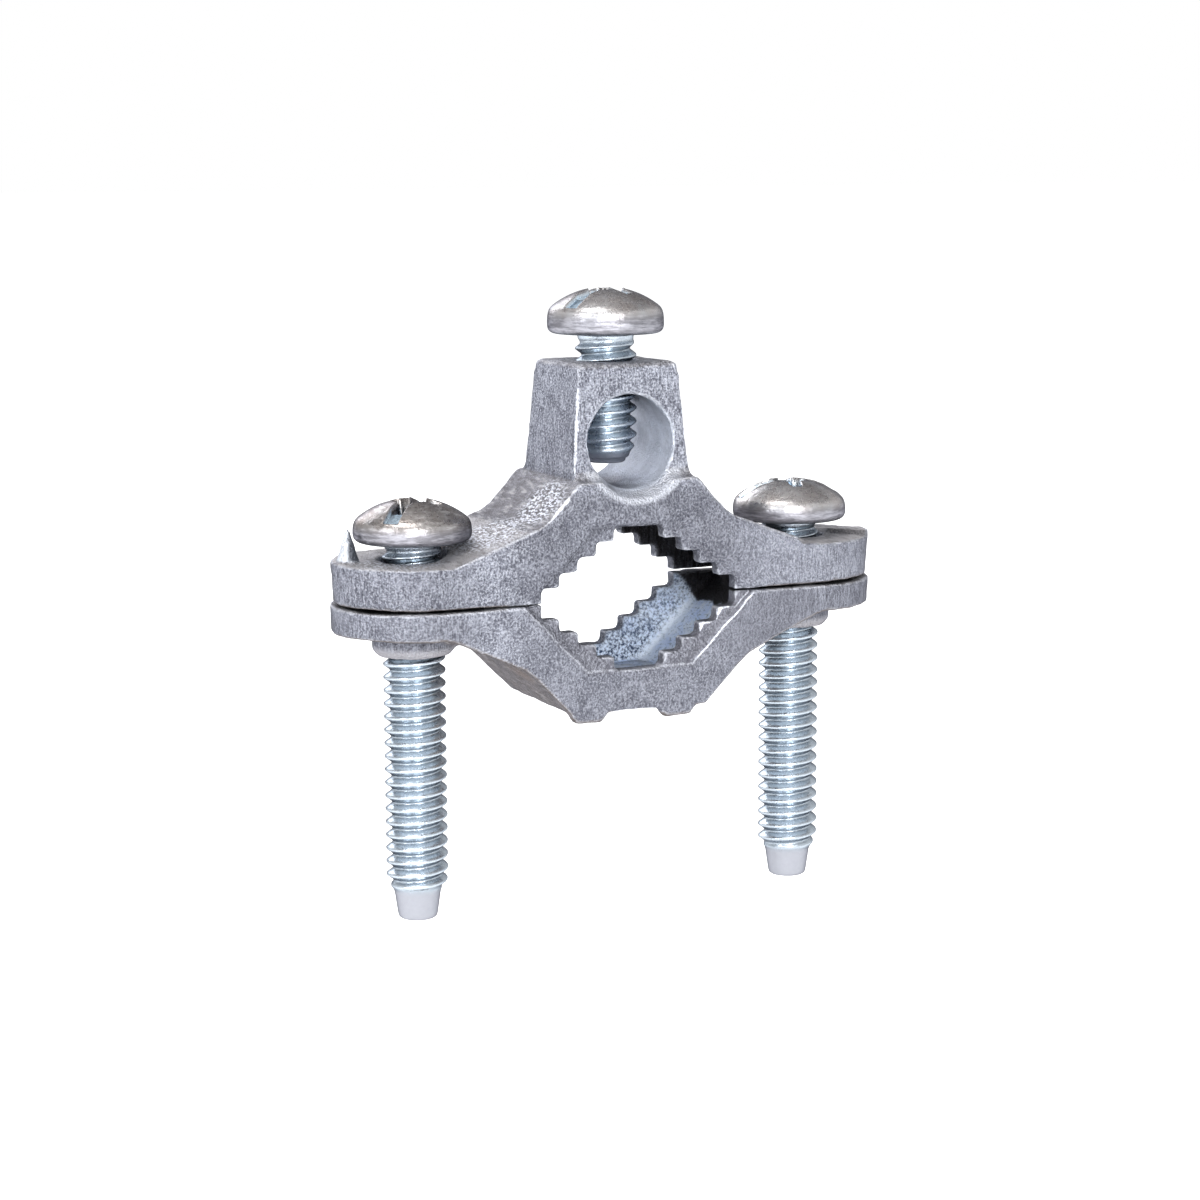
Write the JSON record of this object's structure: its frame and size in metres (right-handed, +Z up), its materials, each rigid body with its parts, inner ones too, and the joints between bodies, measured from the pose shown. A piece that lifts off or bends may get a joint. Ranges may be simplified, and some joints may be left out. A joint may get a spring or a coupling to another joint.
{
  "type": "pipe grounding clamp",
  "caption": "Cast two-jaw grounding clamp with serrated bites for pipe, two clamp screws and a wire lug with its set screw.",
  "frame": {"origin": "centre of the closed bite, on the pipe axis, midway between the two jaws and in the middle of their depth", "axes": "+X from the left ear to the right ear, +Y along the pipe away from the viewer, +Z up towards the wire lug"},
  "size_m": [0.0558, 0.0162, 0.0597],
  "materials": {
    "cast_zinc": "dull grey die-cast zinc alloy, as cast",
    "plated_steel": "bright zinc-plated steel"
  },
  "bodies": {
    "upper_jaw": {"upper_jaw": "cast_zinc"},
    "lower_jaw": {"lower_jaw": "cast_zinc"},
    "clamp_screw_left": {"clamp_screw_left": "plated_steel"},
    "clamp_screw_right": {"clamp_screw_right": "plated_steel"},
    "wire_screw": {"wire_screw": "plated_steel"}
  },
  "joints": [
    {"name": "lower_jaw_travel", "type": "slide", "parent": "upper_jaw", "child": "lower_jaw", "axis": [0, 0, -1], "range_m": [0, 0.0254]},
    {"name": "left_screw_turn", "type": "hinge", "parent": "upper_jaw", "child": "clamp_screw_left", "pos_m": [-0.02, 0, 0.0058], "axis": [0, 0, 1], "range_deg": [0, 7200.5]},
    {"name": "right_screw_turn", "type": "hinge", "parent": "upper_jaw", "child": "clamp_screw_right", "pos_m": [0.02, 0, 0.0058], "axis": [0, 0, 1], "range_deg": [0, 7200.5]},
    {"name": "wire_screw_travel", "type": "slide", "parent": "upper_jaw", "child": "wire_screw", "axis": [0, 0, 1], "range_m": [-0.0015, 0.0065]}
  ],
  "couplings": [
    {"joint": "left_screw_turn", "follows": "lower_jaw_travel", "rad_per_m": 4947.4},
    {"joint": "right_screw_turn", "follows": "lower_jaw_travel", "rad_per_m": 4947.4}
  ]
}
